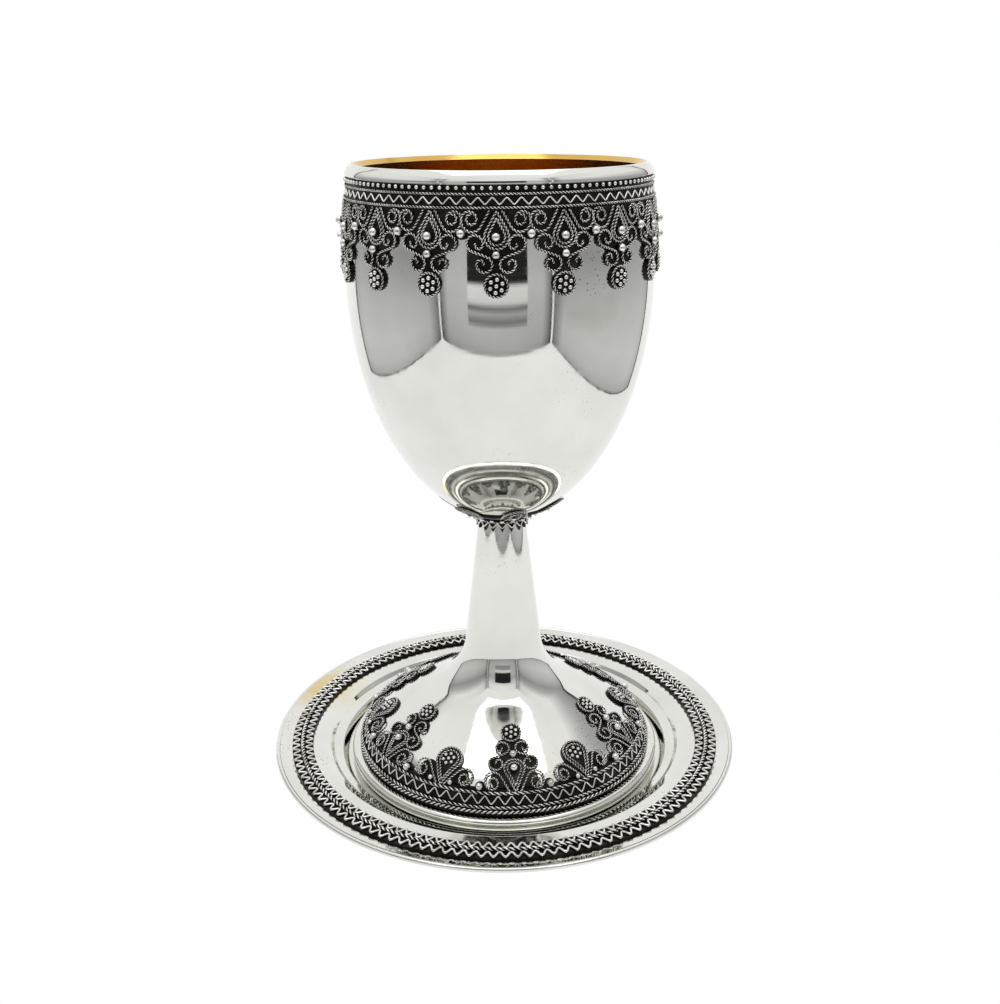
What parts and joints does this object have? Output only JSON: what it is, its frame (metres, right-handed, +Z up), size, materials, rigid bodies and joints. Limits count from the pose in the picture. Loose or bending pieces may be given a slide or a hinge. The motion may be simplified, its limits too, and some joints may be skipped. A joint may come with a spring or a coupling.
{
  "type": "footed goblet with saucer",
  "caption": "Open footed goblet with a gilt inside and bands of soldered filigree on bowl and foot, standing loose in the well of a round rimmed saucer.",
  "frame": {"origin": "middle of the saucer's flat underside", "axes": "+Z up along the goblet's axis, -Y towards the front of the goblet"},
  "size_m": [0.1204, 0.1204, 0.1513],
  "materials": {
    "polished_silver": "polished sterling silver, lightly worn",
    "filigree_silver": "twisted silver wire and granules, bright on top and dark in the grooves",
    "oxidised_silver": "blackened silver ground sheet",
    "gilt": "gilt, polished",
    "fixing_brass": "plain turned brass"
  },
  "bodies": {
    "saucer": {"saucer_band_ground": "oxidised_silver", "saucer_edge_wire": "polished_silver", "saucer_plate": "polished_silver", "saucer_twist_wire": "filigree_silver", "saucer_zigzag_inner": "filigree_silver", "saucer_zigzag_outer": "filigree_silver"},
    "goblet": {"bowl": "polished_silver", "bowl_bead_row": "filigree_silver", "bowl_lace_ground": "oxidised_silver", "bowl_lower_loops": "filigree_silver", "bowl_medallion_granules": "filigree_silver", "bowl_medallion_rings": "filigree_silver", "bowl_middle_loops": "filigree_silver", "bowl_motif_beads": "filigree_silver", "bowl_scroll_wires": "filigree_silver", "bowl_stud": "fixing_brass", "bowl_teardrop_wires": "filigree_silver", "bowl_twist_wire_lower": "filigree_silver", "bowl_twist_wire_upper": "filigree_silver", "bowl_zigzag_wire": "filigree_silver", "collar_bead_row": "filigree_silver", "collar_petal_beads": "filigree_silver", "collar_petal_plate": "oxidised_silver", "collar_scroll_rings": "filigree_silver", "collar_sleeve": "oxidised_silver", "collar_twist_wire": "filigree_silver", "collar_zigzag_wire": "filigree_silver", "foot_base_ring": "polished_silver", "foot_granules": "filigree_silver", "foot_lace_ground": "oxidised_silver", "foot_motif_beads": "filigree_silver", "foot_short_scrolls": "filigree_silver", "foot_short_teardrops": "filigree_silver", "foot_tall_loops": "filigree_silver", "foot_tall_medallion_rings": "filigree_silver", "foot_tall_scrolls": "filigree_silver", "foot_tall_teardrops": "filigree_silver", "foot_twist_wire_lower": "filigree_silver", "foot_twist_wire_middle": "filigree_silver", "foot_twist_wire_upper": "filigree_silver", "foot_zigzag_wire": "filigree_silver", "gilt_lining": "gilt", "lip_ring": "polished_silver", "stem_and_foot": "polished_silver", "stem_nut": "fixing_brass", "stem_washer": "fixing_brass"}
  },
  "joints": [
    {"name": "goblet_lift", "type": "slide", "parent": "saucer", "child": "goblet", "axis": [0, 0, 1], "range_m": [0, 0.06]}
  ]
}
